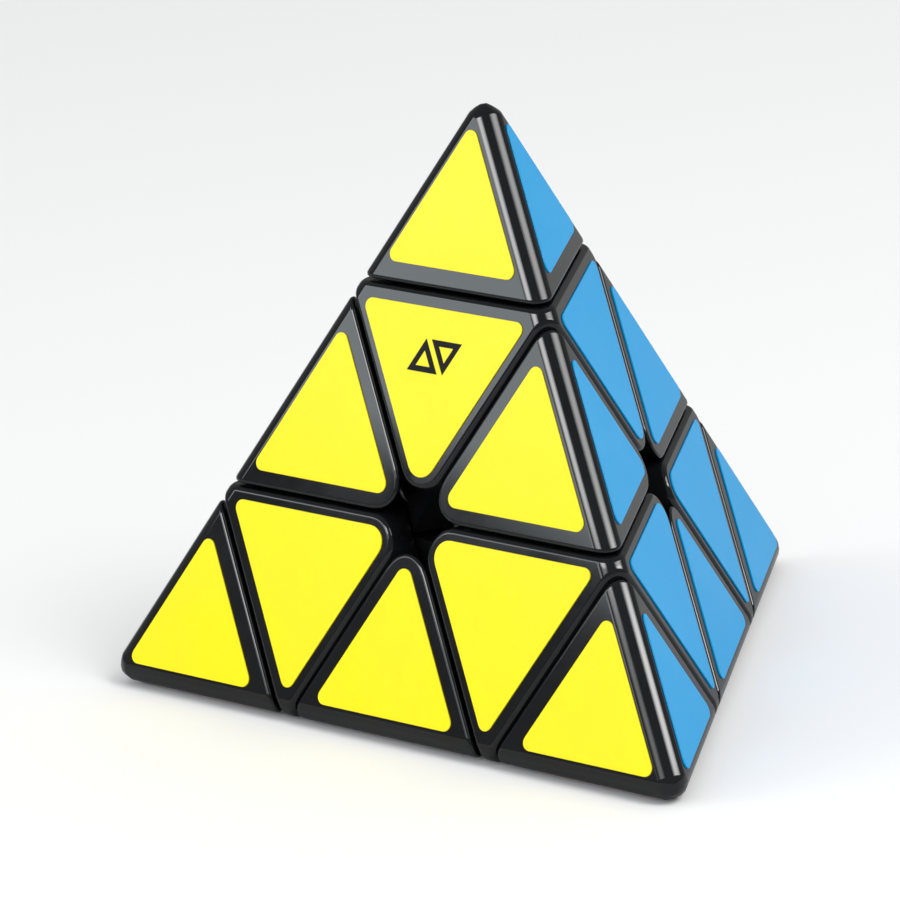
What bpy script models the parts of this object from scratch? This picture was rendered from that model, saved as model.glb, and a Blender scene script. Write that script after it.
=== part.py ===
"""A pyramid twisty puzzle: a tetrahedron cut into three layers along each of its four axes.

Four tips, four axial pieces and six edge pieces turn about a spider core. A screw and a spring
on each of the core's arms hold an axial piece, the axial pieces hold the edge pieces in by
their feet, and a tip snaps into each axial piece. Nine stickers lie on each of the four faces.

The origin is the centre of the core, where the four turning axes meet. +Z runs up through the
top corner, and the left, right and back corners stand on the level of the resting face.
Along each axis, "height" is the distance from the origin towards that axis's corner.
"""

import math
from itertools import permutations

import bmesh
import bpy
from mathutils import Matrix, Vector

MM = 0.001

# Driving sizes of the whole puzzle
EDGE_OVERALL = 98.0 * MM      # along an outer edge, over its two rounded corners
CORNER_RADIUS = 2.3 * MM      # rounding of the outer edges and corners
GAP = 0.4 * MM                # between the cut faces of two neighbouring pieces
TETRA_LIP = 0.8 * MM          # width of the rounded lip round a cut face on tips and edge pieces
AXIAL_LIP = 0.65 * MM         # the same on axial pieces
HUB_CORNER = 7.2 * MM         # how far back a piece's corner is rounded where six meet on a face
HUB_REACH = 1.5 * MM          # a piece's corner there lies within this of the face's middle

# Geometry of a regular tetrahedron
CORNER_LOSS = 2 * (3 * math.sqrt(2 / 3) - 1)      # overall edge lost at two corners, per radius
SHARP_EDGE = EDGE_OVERALL + CORNER_LOSS * CORNER_RADIUS
TALL = SHARP_EDGE * math.sqrt(2 / 3)              # height of the sharp tetrahedron
CORNER_AT = TALL * 3 / 4                          # height of a sharp corner on its own axis
FACE_AT = -TALL / 4                               # height of a face on the opposite corner's axis
TIP_CUT = TALL * 5 / 12                           # height of the cut under a tip
LAYER_CUT = TALL / 12                             # height of the cut under a layer
TETRA_WIDTH_PER_RADIUS = math.sqrt(2)             # bevel width that gives radius 1 on a tetrahedron

# Mechanism, by height along an axis or radius about it
CORE_RADIUS = 9.5 * MM
ARM_RADIUS = 2.6 * MM
ARM_TOP = 18.5 * MM
SCREW_HOLE_RADIUS = 1.8 * MM
SCREW_HOLE_FLOOR = 8.0 * MM
BALL_RADIUS = 17.0 * MM       # inside this ball the layers part lower down, to leave room for feet
BALL_GAP = 0.3 * MM           # from the ball to the feet inside and to the shells outside
FOOT_CUT = 3.2 * MM           # height at which the layers part inside the ball
FOOT_INNER_RADIUS = 10.0 * MM
STEM_RADIUS = 6.0 * MM
STEM_FOOT = 10.1 * MM
BORE_RADIUS = 2.9 * MM
CUP_RADIUS = 4.6 * MM
CUP_FLOOR = 19.0 * MM
SNAP_HEIGHT = 32.8 * MM       # middle of the snap groove and of the barb that turns in it
SNAP_DEPTH = 0.55 * MM
SNAP_HALF = 0.35 * MM
SNAP_SLOPE = 0.5 * MM
PLUG_RADIUS = 4.2 * MM
PLUG_END = 30.5 * MM
PLUG_CHAMFER = 0.5 * MM
OVERLAP = 1.5 * MM            # how far a stem or a plug runs into the body that it joins
CLEAR = 0.3 * MM              # gap of a running fit

# Screws and springs
SCREW_RADIUS = 1.5 * MM
SCREW_END = 9.0 * MM
SCREW_POINT = 1.0 * MM
HEAD_RADIUS = 4.1 * MM
HEAD_UNDER = 27.0 * MM
HEAD_TOP = 29.4 * MM
HEAD_CHAMFER = 0.5 * MM
CROSS_LENGTH = 4.6 * MM
CROSS_WIDTH = 0.9 * MM
CROSS_DEPTH = 1.4 * MM
WIRE_RADIUS = 0.35 * MM
SPRING_RADIUS = 3.55 * MM     # to the middle of the wire
SPRING_TURNS = 5

# Stickers: distance from the ideal lines of the cuts and edges to a sticker's sides
STICKER_THICK = 0.15 * MM
STICKER_GAP = 0.05 * MM
STICKER_CORNER = 1.9 * MM
TIP_OUTER_RIM = 3.7 * MM
TIP_CUT_RIM = 3.1 * MM
AXIAL_TIP_RIM = 2.1 * MM
AXIAL_SIDE_RIM = 1.7 * MM
EDGE_OUTER_RIM = 3.7 * MM
EDGE_CUT_RIM = 2.6 * MM

# Fineness of round shapes
CORNER_SEGMENTS = 3
LIP_SEGMENTS = 2
HUB_SEGMENTS = 2
TURNED_STEPS = 20
BALL_STEPS = 24
STICKER_ARC_STEPS = 4
SPRING_STEPS_PER_TURN = 10
SMOOTH_ANGLE = math.radians(32)

# The four corners, and the colour of the face opposite each
CORNERS = {
    "top": Vector((0, 0, 1)),
    "left": Vector((-math.sqrt(6), -math.sqrt(2), -1)) / 3,
    "right": Vector((math.sqrt(6), -math.sqrt(2), -1)) / 3,
    "back": Vector((0, 2 * math.sqrt(2), -1)) / 3,
}
FACE_COLOURS = {"back": "yellow", "left": "blue", "right": "green", "top": "red"}
EDGE_PAIRS = [("top", "left"), ("top", "right"), ("top", "back"),
              ("left", "right"), ("right", "back"), ("back", "left")]

# Looks: base colour, roughness and metallic value of each finish
FINISHES = {
    "black_plastic": ((0.012, 0.013, 0.015), 0.18, 0.0),
    "core_plastic": ((0.035, 0.036, 0.040), 0.45, 0.0),
    "sticker_yellow": ((1.0, 0.83, 0.01), 0.35, 0.0),
    "sticker_blue": ((0.0, 0.32, 0.78), 0.35, 0.0),
    "sticker_green": ((0.0, 0.42, 0.09), 0.35, 0.0),
    "sticker_red": ((0.72, 0.02, 0.02), 0.35, 0.0),
    "screw_steel": ((0.55, 0.56, 0.58), 0.28, 1.0),
    "spring_steel": ((0.70, 0.71, 0.72), 0.22, 1.0),
}


# ---------------------------------------------------------------- scene and materials

def clear_scene():
    """Remove every object of the open scene."""
    for obj in list(bpy.data.objects):
        bpy.data.objects.remove(obj, do_unlink=True)


def make_material(name):
    """Make the Principled material of one finish."""
    colour, roughness, metallic = FINISHES[name]
    material = bpy.data.materials.new(name)
    material.use_nodes = True
    shader = material.node_tree.nodes["Principled BSDF"]
    shader.inputs["Base Color"].default_value = (*colour, 1)
    shader.inputs["Roughness"].default_value = roughness
    shader.inputs["Metallic"].default_value = metallic
    material.diffuse_color = (*colour, 1)
    return material


def link(name, data, parent=None, turn=None):
    """Put data in the scene as an object at the origin, turned and parented."""
    obj = bpy.data.objects.new(name, data)
    bpy.context.scene.collection.objects.link(obj)
    if turn is not None:
        obj.rotation_mode = "QUATERNION"
        obj.rotation_quaternion = turn.to_quaternion()
    if parent is not None:
        obj.parent = parent
    return obj


def make_turning_centre(name, axis):
    """Make the empty that a moving body's pieces hang on, its Z along the turning axis."""
    turn = axis.to_track_quat("Z", "Y").to_matrix()
    empty = link(name, None, turn=turn)
    empty.empty_display_type = "SINGLE_ARROW"
    empty.empty_display_size = CORNER_AT
    return empty


def hang(name, mesh, material, centre, turn):
    """Put a piece's mesh in the scene, turned into its place and parented to its centre."""
    piece = link(name, mesh, turn=turn)
    if not mesh.materials:
        mesh.materials.append(material)
    bpy.context.view_layer.update()
    piece.parent = centre
    piece.matrix_parent_inverse = centre.matrix_world.inverted()
    return piece


# ---------------------------------------------------------------- mesh helpers

def to_mesh(bm, name):
    """Turn a bmesh into a mesh that is shaded smooth, with its sharp edges kept."""
    bmesh.ops.recalc_face_normals(bm, faces=bm.faces)
    mesh = bpy.data.meshes.new(name)
    bm.to_mesh(mesh)
    bm.free()
    mesh.shade_smooth()
    mesh.set_sharp_from_angle(angle=SMOOTH_ANGLE)
    return mesh


def combine(name, base, steps):
    """Return base after each (operation, tool mesh) of steps, as exact Booleans."""
    body = link(name, base)
    tools = []
    for operation, tool_mesh in steps:
        tool = link(name + "_tool", tool_mesh)
        tool.hide_render = True
        tool.display_type = "WIRE"
        tools.append(tool)
        boolean = body.modifiers.new(operation, "BOOLEAN")
        boolean.operation = operation
        boolean.solver = "EXACT"
        boolean.object = tool
    depsgraph = bpy.context.evaluated_depsgraph_get()
    result = bpy.data.meshes.new_from_object(body.evaluated_get(depsgraph))
    result.name = name
    for obj in [body] + tools:
        bpy.data.objects.remove(obj)
    result.shade_smooth()
    result.set_sharp_from_angle(angle=SMOOTH_ANGLE)
    return result


def turned(name, profile, steps=TURNED_STEPS):
    """Turn a closed (radius, height) profile about +Z into a solid."""
    bm = bmesh.new()
    verts = [bm.verts.new((radius, 0, height)) for radius, height in profile]
    edges = [bm.edges.new(pair) for pair in zip(verts, verts[1:])]
    bmesh.ops.spin(bm, geom=verts + edges, cent=(0, 0, 0), axis=(0, 0, 1),
                   angle=math.tau, steps=steps, use_merge=True)
    bmesh.ops.remove_doubles(bm, verts=bm.verts, dist=0.001 * MM)
    return to_mesh(bm, name)


def ball(name, radius):
    """A ball about the origin."""
    bm = bmesh.new()
    bmesh.ops.create_uvsphere(bm, u_segments=BALL_STEPS, v_segments=BALL_STEPS // 2, radius=radius)
    return to_mesh(bm, name)


def keep_side(bm, axis, height, above):
    """Cut the solid across an axis, keep one side and close it; the cut face is marked 1."""
    outward = -axis if above else axis
    geometry = bm.verts[:] + bm.edges[:] + bm.faces[:]
    cut = bmesh.ops.bisect_plane(bm, geom=geometry, dist=1e-8, plane_co=axis * height,
                                 plane_no=outward, clear_outer=True)
    rim = [item for item in cut["geom_cut"] if isinstance(item, bmesh.types.BMEdge)]
    for face in bmesh.ops.contextual_create(bm, geom=rim)["faces"]:
        face.material_index = 1


def rounded_tetrahedron():
    """The whole outer shape of the puzzle, its edges and corners rounded."""
    bm = bmesh.new()
    corners = [bm.verts.new(axis * CORNER_AT) for axis in CORNERS.values()]
    for index in range(4):
        bm.faces.new(corners[:index] + corners[index + 1:])
    bmesh.ops.recalc_face_normals(bm, faces=bm.faces)
    bmesh.ops.bevel(bm, geom=bm.edges[:], offset=CORNER_RADIUS * TETRA_WIDTH_PER_RADIUS,
                    offset_type="OFFSET", segments=CORNER_SEGMENTS, profile=0.5, affect="EDGES")
    return bm


def hub_point(name):
    """Where six pieces meet, in the middle of the face opposite a corner."""
    return CORNERS[name] * FACE_AT


def round_hub_corners(bm, faces_met):
    """Round back the corners that the piece has in the middle of these faces."""
    tips = []
    for name in faces_met:
        hub = hub_point(name)
        near = sorted((v for v in bm.verts if (v.co - hub).length < HUB_REACH),
                      key=lambda v: v.co.dot(CORNERS[name]))
        # the gaps split an octahedron's corner in two: its outer end is kept
        bmesh.ops.pointmerge(bm, verts=near, merge_co=near[0].co)
        tips.append(min(bm.verts, key=lambda v: (v.co - hub).length))
    bmesh.ops.bevel(bm, geom=tips, offset=HUB_CORNER, offset_type="OFFSET",
                    segments=HUB_SEGMENTS, profile=0.5, affect="VERTICES", material=1)


def round_lips(bm, width):
    """Round the lip between the outer skin, marked 0, and the cut faces, marked 1."""
    lips = [e for e in bm.edges if {f.material_index for f in e.link_faces} == {0, 1}]
    bmesh.ops.bevel(bm, geom=lips, offset=width, offset_type="OFFSET",
                    segments=LIP_SEGMENTS, profile=0.5, affect="EDGES", material=1)
    for face in bm.faces:
        face.material_index = 0


# ---------------------------------------------------------------- pieces, made on the top axis

def make_tip():
    """A tip: the corner of the tetrahedron, with a plug and snap barb under it."""
    bm = rounded_tetrahedron()
    keep_side(bm, CORNERS["top"], TIP_CUT + GAP / 2, above=True)
    round_lips(bm, TETRA_LIP)
    barb = PLUG_RADIUS + SNAP_DEPTH
    plug = turned("tip_plug", [
        (0, PLUG_END),
        (PLUG_RADIUS - PLUG_CHAMFER, PLUG_END),
        (PLUG_RADIUS, PLUG_END + PLUG_CHAMFER),
        (PLUG_RADIUS, SNAP_HEIGHT - SNAP_HALF - SNAP_SLOPE),
        (barb, SNAP_HEIGHT - SNAP_HALF),
        (barb, SNAP_HEIGHT + SNAP_HALF),
        (PLUG_RADIUS, SNAP_HEIGHT + SNAP_HALF + SNAP_SLOPE),
        (PLUG_RADIUS, TIP_CUT + OVERLAP),
        (0, TIP_CUT + OVERLAP)])
    return combine("tip", to_mesh(bm, "tip_body"), [("UNION", plug)])


def make_axial():
    """An axial piece: an octahedron with a stem for the core's arm and a cup for the spring."""
    bm = rounded_tetrahedron()
    keep_side(bm, CORNERS["top"], TIP_CUT - GAP / 2, above=False)
    keep_side(bm, CORNERS["top"], LAYER_CUT + GAP / 2, above=True)
    for name in ("left", "right", "back"):
        keep_side(bm, CORNERS[name], LAYER_CUT - GAP / 2, above=False)
    round_hub_corners(bm, ("left", "right", "back"))
    round_lips(bm, AXIAL_LIP)
    stem = turned("stem", [
        (0, STEM_FOOT), (STEM_RADIUS, STEM_FOOT),
        (STEM_RADIUS, CUP_FLOOR + OVERLAP), (0, CUP_FLOOR + OVERLAP)])
    groove = CUP_RADIUS + SNAP_DEPTH
    hollow = turned("hollow", [
        (0, STEM_FOOT - OVERLAP),
        (BORE_RADIUS, STEM_FOOT - OVERLAP),
        (BORE_RADIUS, CUP_FLOOR),
        (CUP_RADIUS, CUP_FLOOR),
        (CUP_RADIUS, SNAP_HEIGHT - SNAP_HALF - CLEAR - SNAP_SLOPE),
        (groove, SNAP_HEIGHT - SNAP_HALF - CLEAR),
        (groove, SNAP_HEIGHT + SNAP_HALF + CLEAR),
        (CUP_RADIUS, SNAP_HEIGHT + SNAP_HALF + CLEAR + SNAP_SLOPE),
        (CUP_RADIUS, TIP_CUT + OVERLAP),
        (0, TIP_CUT + OVERLAP)])
    return combine("axial", to_mesh(bm, "axial_body"), [
        ("DIFFERENCE", ball("axial_ball", BALL_RADIUS + BALL_GAP)),
        ("UNION", stem),
        ("DIFFERENCE", hollow)])


def make_edge():
    """The edge piece between the top and left corners, with the foot that holds it in."""
    bm = rounded_tetrahedron()
    for name in ("top", "left"):
        keep_side(bm, CORNERS[name], LAYER_CUT + GAP / 2, above=True)
    round_hub_corners(bm, ("right", "back"))
    round_lips(bm, TETRA_LIP)
    foot = bmesh.new()
    bmesh.ops.create_uvsphere(foot, u_segments=BALL_STEPS, v_segments=BALL_STEPS // 2,
                              radius=BALL_RADIUS - BALL_GAP)
    for name in ("top", "left"):
        keep_side(foot, CORNERS[name], FOOT_CUT + GAP / 2, above=True)
    for name in ("right", "back"):
        keep_side(foot, CORNERS[name], FOOT_CUT - GAP / 2, above=False)
    for face in foot.faces:
        face.material_index = 0
    hollow_foot = combine("hollow_foot", to_mesh(foot, "foot"),
                          [("DIFFERENCE", ball("foot_ball", FOOT_INNER_RADIUS))])
    return combine("edge", to_mesh(bm, "edge_body"), [("UNION", hollow_foot)])


def make_screw():
    """A pan-head screw along the top axis, with a cross recess in its head."""
    blank = turned("screw_blank", [
        (0, SCREW_END),
        (SCREW_RADIUS - SCREW_POINT / 2, SCREW_END),
        (SCREW_RADIUS, SCREW_END + SCREW_POINT),
        (SCREW_RADIUS, HEAD_UNDER),
        (HEAD_RADIUS, HEAD_UNDER),
        (HEAD_RADIUS, HEAD_TOP - HEAD_CHAMFER),
        (HEAD_RADIUS - HEAD_CHAMFER, HEAD_TOP),
        (0, HEAD_TOP)])
    bm = bmesh.new()
    arm = CROSS_LENGTH / 2
    half = CROSS_WIDTH / 2
    outline = [(arm, -half), (arm, half), (half, half), (half, arm), (-half, arm), (-half, half),
               (-arm, half), (-arm, -half), (-half, -half), (-half, -arm), (half, -arm), (half, -half)]
    floor = bm.faces.new([bm.verts.new((x, y, HEAD_TOP - CROSS_DEPTH)) for x, y in outline])
    sides = bmesh.ops.extrude_face_region(bm, geom=[floor])["geom"]
    lid = [item for item in sides if isinstance(item, bmesh.types.BMVert)]
    bmesh.ops.translate(bm, verts=lid, vec=(0, 0, 2 * CROSS_DEPTH))
    return combine("screw", blank, [("DIFFERENCE", to_mesh(bm, "cross"))])


def make_spring():
    """A compression spring that stands between the cup's floor and the screw's head."""
    curve = bpy.data.curves.new("spring", "CURVE")
    curve.dimensions = "3D"
    curve.bevel_depth = WIRE_RADIUS
    curve.bevel_resolution = 1
    curve.use_fill_caps = True
    count = SPRING_TURNS * SPRING_STEPS_PER_TURN + 1
    low = CUP_FLOOR + CLEAR + WIRE_RADIUS
    high = HEAD_UNDER - CLEAR - WIRE_RADIUS
    spline = curve.splines.new("POLY")
    spline.points.add(count - 1)
    for index, point in enumerate(spline.points):
        angle = math.tau * index / SPRING_STEPS_PER_TURN
        height = low + (high - low) * index / (count - 1)
        point.co = (SPRING_RADIUS * math.cos(angle), SPRING_RADIUS * math.sin(angle), height, 1)
    return curve


def make_core(turns):
    """The spider core: a ball with four hollow arms, one along each axis."""
    arm = [(0, 0), (ARM_RADIUS, 0), (ARM_RADIUS, ARM_TOP), (0, ARM_TOP)]
    hole = [(0, SCREW_HOLE_FLOOR), (SCREW_HOLE_RADIUS, SCREW_HOLE_FLOOR),
            (SCREW_HOLE_RADIUS, ARM_TOP + OVERLAP), (0, ARM_TOP + OVERLAP)]
    steps = []
    for operation, profile in (("UNION", arm), ("DIFFERENCE", hole)):
        for turn in turns.values():
            tool = turned("core_tool", profile)
            tool.transform(turn.to_4x4())
            steps.append((operation, tool))
    return combine("core_spider", ball("core_ball", CORE_RADIUS), steps)


# ---------------------------------------------------------------- stickers

def cell_corners(cell, face):
    """The three ideal corners of a cell on a face, and the rim that each opposite side keeps."""
    others = [name for name in CORNERS if name != face]
    point = {name: CORNERS[name] * CORNER_AT for name in others}
    hub = hub_point(face)

    def third(near, far):
        return point[near].lerp(point[far], 1 / 3)

    kind, *names = cell
    if kind == "tip":
        far = [name for name in others if name != names[0]]
        corners = [point[names[0]], third(names[0], far[0]), third(names[0], far[1])]
        return corners, [TIP_CUT_RIM, TIP_OUTER_RIM, TIP_OUTER_RIM]
    if kind == "axial":
        far = [name for name in others if name != names[0]]
        corners = [hub, third(names[0], far[0]), third(names[0], far[1])]
        return corners, [AXIAL_TIP_RIM, AXIAL_SIDE_RIM, AXIAL_SIDE_RIM]
    corners = [hub, third(names[0], names[1]), third(names[1], names[0])]
    return corners, [EDGE_OUTER_RIM, EDGE_CUT_RIM, EDGE_CUT_RIM]


def inset_corner(corners, rims, index):
    """Move one corner of a triangle in by the rims of the two sides that meet there."""
    here = corners[index]
    ahead = (corners[(index + 1) % 3] - here).normalized()
    behind = (corners[(index + 2) % 3] - here).normalized()
    # the side opposite corner i carries rims[i], so the side towards a corner carries the other's
    rim_ahead = rims[(index + 2) % 3]
    rim_behind = rims[(index + 1) % 3]
    sine = math.sqrt(1 - ahead.dot(behind) ** 2)
    return here + ahead * (rim_behind / sine) + behind * (rim_ahead / sine)


def rounded_outline(points, radius):
    """Points of a triangle whose corners are arcs of one radius."""
    outline = []
    for index, here in enumerate(points):
        ahead = (points[(index + 1) % 3] - here).normalized()
        behind = (points[(index + 2) % 3] - here).normalized()
        half_angle = ahead.angle(behind) / 2
        middle = here + (ahead + behind).normalized() * (radius / math.sin(half_angle))
        reach = radius / math.tan(half_angle)
        start = (here + behind * reach - middle).normalized()
        end = (here + ahead * reach - middle).normalized()
        for step in range(STICKER_ARC_STEPS + 1):
            outline.append(middle + start.slerp(end, step / STICKER_ARC_STEPS) * radius)
    return outline


def make_sticker(name, cell, face):
    """A thin rounded triangle that lies just off its cell of a face."""
    outward = -CORNERS[face]
    corners, rims = cell_corners(cell, face)
    inset = [inset_corner(corners, rims, index) for index in range(3)]
    outline = [p + outward * STICKER_GAP for p in rounded_outline(inset, STICKER_CORNER)]
    bm = bmesh.new()
    back = bm.faces.new([bm.verts.new(p) for p in outline])
    made = bmesh.ops.extrude_face_region(bm, geom=[back])["geom"]
    front = [item for item in made if isinstance(item, bmesh.types.BMVert)]
    bmesh.ops.translate(bm, verts=front, vec=outward * STICKER_THICK)
    return to_mesh(bm, name)


def cells_of(face):
    """The nine cells of a face: three tips, three axials and three edges."""
    others = [name for name in CORNERS if name != face]
    cells = [("tip", name) for name in others] + [("axial", name) for name in others]
    return cells + [("edge", *pair) for pair in EDGE_PAIRS if face not in pair]


# ---------------------------------------------------------------- assembly

def corner_turns():
    """The turns of the tetrahedron that carry (top, left) to every other pair of corners."""
    def frame(first, second):
        across = first.cross(second).normalized()
        return Matrix((first, across, first.cross(across))).transposed()

    start = frame(CORNERS["top"], CORNERS["left"]).inverted()
    return {(a, b): frame(CORNERS[a], CORNERS[b]) @ start for a, b in permutations(CORNERS, 2)}


def build():
    """Build the whole puzzle."""
    clear_scene()
    materials = {name: make_material(name) for name in FINISHES}
    turns = corner_turns()
    start_of = {"top": "left", "left": "top", "right": "back", "back": "right"}
    corner_turn = {name: turns[name, start_of[name]] for name in CORNERS}

    tip, axial, edge = make_tip(), make_axial(), make_edge()
    screw, spring = make_screw(), make_spring()
    centres = {"core": make_turning_centre("core", CORNERS["top"])}
    core = make_core(corner_turn)
    hang("core_spider", core, materials["core_plastic"], centres["core"], Matrix.Identity(3))

    for name, axis in CORNERS.items():
        turn = corner_turn[name]
        layer = centres["axial", name] = make_turning_centre(f"layer_{name}", axis)
        corner = centres["tip", name] = make_turning_centre(f"corner_{name}", axis)
        hang(f"axial_{name}", axial, materials["black_plastic"], layer, turn)
        hang(f"tip_{name}", tip, materials["black_plastic"], corner, turn)
        hang(f"screw_{name}", screw, materials["screw_steel"], centres["core"], turn)
        hang(f"spring_{name}", spring, materials["spring_steel"], centres["core"], turn)

    for first, second in EDGE_PAIRS:
        middle = (CORNERS[first] + CORNERS[second]).normalized()
        centre = make_turning_centre(f"side_{first}_{second}", middle)
        centres["edge", first, second] = centre
        hang(f"edge_{first}_{second}", edge, materials["black_plastic"], centre, turns[first, second])

    for face, colour in FACE_COLOURS.items():
        for cell in cells_of(face):
            name = "_".join(("sticker", colour) + cell)
            mesh = make_sticker(name, cell, face)
            hang(name, mesh, materials[f"sticker_{colour}"], centres[cell], Matrix.Identity(3))


build()
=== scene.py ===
# %% [markdown]
# # A pyramid twisty puzzle, modelled piece by piece
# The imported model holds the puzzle's true sizes, its bodies and its joints. This lesson models
# each piece again with finer curves, gives it a real finish, and hangs it on the same bodies,
# so that the puzzle still turns.

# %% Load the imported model
import math

import bmesh
import bpy
from mathutils import Matrix, Quaternion, Vector


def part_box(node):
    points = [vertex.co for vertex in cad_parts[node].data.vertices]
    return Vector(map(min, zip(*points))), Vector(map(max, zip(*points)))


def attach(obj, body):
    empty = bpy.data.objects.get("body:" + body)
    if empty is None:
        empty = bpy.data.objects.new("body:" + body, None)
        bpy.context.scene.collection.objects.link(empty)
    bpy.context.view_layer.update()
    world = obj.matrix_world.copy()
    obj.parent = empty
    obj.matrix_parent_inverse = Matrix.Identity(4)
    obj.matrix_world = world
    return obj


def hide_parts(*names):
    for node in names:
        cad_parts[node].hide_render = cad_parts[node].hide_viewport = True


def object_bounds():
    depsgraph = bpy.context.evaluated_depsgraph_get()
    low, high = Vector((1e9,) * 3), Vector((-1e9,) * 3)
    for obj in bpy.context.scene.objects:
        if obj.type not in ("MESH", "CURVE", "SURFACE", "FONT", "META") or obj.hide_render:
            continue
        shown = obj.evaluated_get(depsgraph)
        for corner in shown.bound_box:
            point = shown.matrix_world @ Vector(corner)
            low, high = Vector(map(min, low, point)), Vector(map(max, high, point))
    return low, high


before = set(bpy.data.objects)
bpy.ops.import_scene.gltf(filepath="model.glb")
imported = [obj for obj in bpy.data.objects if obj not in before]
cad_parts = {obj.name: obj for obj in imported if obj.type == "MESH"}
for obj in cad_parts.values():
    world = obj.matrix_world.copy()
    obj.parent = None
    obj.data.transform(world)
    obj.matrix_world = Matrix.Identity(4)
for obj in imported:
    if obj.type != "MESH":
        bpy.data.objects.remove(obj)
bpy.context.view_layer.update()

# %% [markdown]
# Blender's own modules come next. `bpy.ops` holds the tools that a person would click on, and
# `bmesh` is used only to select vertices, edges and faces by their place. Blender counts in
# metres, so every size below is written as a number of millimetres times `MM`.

MM = 0.001

# %% [markdown]
# The whole puzzle is one regular tetrahedron, a pyramid with four equal faces. Its four turning
# axes meet in the origin, and every cut lies square to one of them. The bottom edge piece lies
# flat on the lowest face, which is a quarter of the pyramid's height below the origin, so one
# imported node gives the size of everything.

# %% Measure the pyramid and name its four corners
FACE_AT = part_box("edge_left_right")[0].z     # height of a face along the axis of the far corner
TALL = -4 * FACE_AT                          # height of the pyramid with sharp corners
CORNER_AT = TALL * 3 / 4
TIP_CUT = TALL * 5 / 12
LAYER_CUT = TALL / 12
SHARP_EDGE = TALL / math.sqrt(2 / 3)
CORNERS = {
    "top": Vector((0, 0, 1)),
    "left": Vector((-math.sqrt(6), -math.sqrt(2), -1)) / 3,
    "right": Vector((math.sqrt(6), -math.sqrt(2), -1)) / 3,
    "back": Vector((0, 2 * math.sqrt(2), -1)) / 3,
}
FACE_COLOURS = {"back": "yellow", "left": "blue", "right": "green", "top": "red"}
EDGE_PAIRS = [("top", "left"), ("top", "right"), ("top", "back"),
              ("left", "right"), ("right", "back"), ("back", "left")]
print(f"sharp edge {SHARP_EDGE / MM:.2f} mm, height {TALL / MM:.2f} mm")

# %% [markdown]
# A few sizes are shared by all the pieces. Neighbours are kept apart by a narrow gap, so that
# they turn without rubbing. A cutting tool runs a little past what it cuts, and a joined part
# starts a little inside the other, so that no two faces lie in the same plane.

# %% Name the sizes that the pieces share
GAP = 0.4 * MM
OVERLAP = 1.5 * MM            # how far a tool runs past what it cuts or joins
ON_PLANE = 1e-7               # a vertex this near to a plane lies in it
SAW_THRESHOLD = 1e-8
DIHEDRAL = math.acos(1 / 3)   # between two faces of a regular tetrahedron
print(f"gaps {GAP / MM:.1f} mm wide, faces meet at {math.degrees(DIHEDRAL):.1f} degrees")

# %% [markdown]
# Four small helpers do what a person does all the time: let go of everything, take one piece,
# open it for editing, and pick its vertices, edges or faces by their place.

# %% Helpers for picking and editing
def let_go():
    """Leave edit mode and select nothing."""
    if bpy.context.mode != "OBJECT":
        bpy.ops.object.mode_set(mode="OBJECT")
    bpy.ops.object.select_all(action="DESELECT")


def take(piece):
    """Select one piece and make it the active one."""
    let_go()
    piece.select_set(True)
    bpy.context.view_layer.objects.active = piece


def open_piece(piece):
    """Take a piece into edit mode with all of it selected."""
    take(piece)
    bpy.ops.object.mode_set(mode="EDIT")
    bpy.ops.mesh.select_all(action="SELECT")


def pick(kind, test):
    """In edit mode, select just the vertices, edges or faces that pass a test."""
    bpy.ops.mesh.select_mode(type=kind)
    bpy.ops.mesh.select_all(action="DESELECT")
    mesh = bpy.context.object.data
    bm = bmesh.from_edit_mesh(mesh)
    parts = {"VERT": bm.verts, "EDGE": bm.edges, "FACE": bm.faces}[kind]
    chosen = [part for part in parts if test(part)]
    for part in chosen:
        part.select_set(True)
    bm.select_flush_mode()
    bmesh.update_edit_mesh(mesh)
    return len(chosen)


# %% [markdown]
# The whole pyramid comes first, as one solid block with edges that a thumb can push against.
# A primitive that has just been added is named, and its place is put into its mesh, so that the
# object itself stays at the origin. The cone primitive with three sides is a tetrahedron. Its
# six edges are bevelled at once, with the profile that gives a true arc, because they carry long
# bright lines that show how round they are. Then `bisect` takes off the ends of the four
# corners, and a small bevel breaks the edge that this leaves.

# %% The rounded pyramid that every piece is cut from
OUTER_RADIUS = 2.5 * MM
OUTER_STEPS = 6
BLUNT_END = 59.2 * MM         # the pyramid's corners are flattened this far from the middle
BLUNT_LIP = 0.4 * MM
BLUNT_STEPS = 3

two_marks = [bpy.data.materials.new(name) for name in ("skin_mark", "cut_mark")]


def give_marks(piece):
    """Give a piece the two marking slots, skin and cut."""
    for mark in two_marks:
        piece.data.materials.append(mark)


def settle(name):
    """Name the new primitive and put its place into its mesh."""
    piece = bpy.context.object
    piece.name = piece.data.name = name
    bpy.ops.object.transform_apply(location=True, rotation=True, scale=True)
    return piece


def arc_profile(corner):
    """The bevel profile that turns a corner of this angle into a true arc."""
    half = corner / 2
    return (1 - (1 / math.sin(half) - 1) * math.tan(half) / (2 * math.cos(half))) ** 2


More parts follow.
